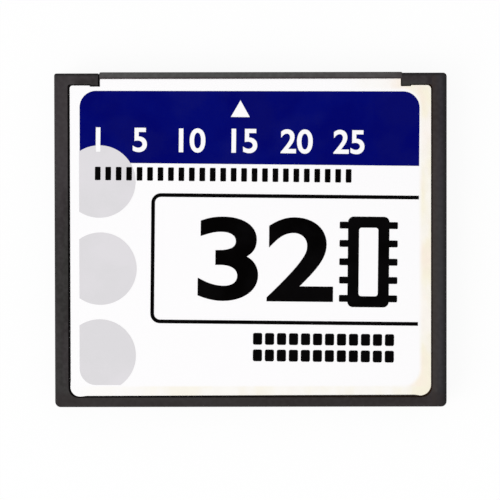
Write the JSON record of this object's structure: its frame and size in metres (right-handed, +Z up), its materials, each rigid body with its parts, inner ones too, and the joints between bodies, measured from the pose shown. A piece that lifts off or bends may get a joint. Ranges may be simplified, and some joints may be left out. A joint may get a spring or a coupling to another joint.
{
  "type": "compact flash memory card",
  "caption": "Flat rectangular memory card with a moulded frame, sheet-metal covers, a printed label and a pin socket along one edge.",
  "frame": {"origin": "middle of the card's underside, at the centre of its outline", "axes": "+X to the right of the printed face, +Y towards the connector edge, +Z up out of the printed face"},
  "size_m": [0.0428, 0.0366, 0.0033],
  "materials": {
    "frame_plastic": "fine moulded texture",
    "connector_plastic": "smooth moulded",
    "contact_plating": "gold plated",
    "board_laminate": "solder mask",
    "chip_resin": "moulded resin",
    "cover_steel": "brushed",
    "label_vinyl": "printed vinyl, satin"
  },
  "bodies": {
    "root": {"frame": "frame_plastic", "connector_housing": "connector_plastic", "circuit_board": "board_laminate", "top_cover": "cover_steel", "bottom_cover": "cover_steel", "front_label": "label_vinyl", "controller_chip": "chip_resin", "flash_chip_upper": "chip_resin", "flash_chip_lower_left": "chip_resin", "flash_chip_lower_right": "chip_resin", "contact_01": "contact_plating", "contact_02": "contact_plating", "contact_03": "contact_plating", "contact_04": "contact_plating", "contact_05": "contact_plating", "contact_06": "contact_plating", "contact_07": "contact_plating", "contact_08": "contact_plating", "contact_09": "contact_plating", "contact_10": "contact_plating", "contact_11": "contact_plating", "contact_12": "contact_plating", "contact_13": "contact_plating", "contact_14": "contact_plating", "contact_15": "contact_plating", "contact_16": "contact_plating", "contact_17": "contact_plating", "contact_18": "contact_plating", "contact_19": "contact_plating", "contact_20": "contact_plating", "contact_21": "contact_plating", "contact_22": "contact_plating", "contact_23": "contact_plating", "contact_24": "contact_plating", "contact_25": "contact_plating", "contact_26": "contact_plating", "contact_27": "contact_plating", "contact_28": "contact_plating", "contact_29": "contact_plating", "contact_30": "contact_plating", "contact_31": "contact_plating", "contact_32": "contact_plating", "contact_33": "contact_plating", "contact_34": "contact_plating", "contact_35": "contact_plating", "contact_36": "contact_plating", "contact_37": "contact_plating", "contact_38": "contact_plating", "contact_39": "contact_plating", "contact_40": "contact_plating", "contact_41": "contact_plating", "contact_42": "contact_plating", "contact_43": "contact_plating", "contact_44": "contact_plating", "contact_45": "contact_plating", "contact_46": "contact_plating", "contact_47": "contact_plating", "contact_48": "contact_plating", "contact_49": "contact_plating", "contact_50": "contact_plating"}
  },
  "joints": []
}
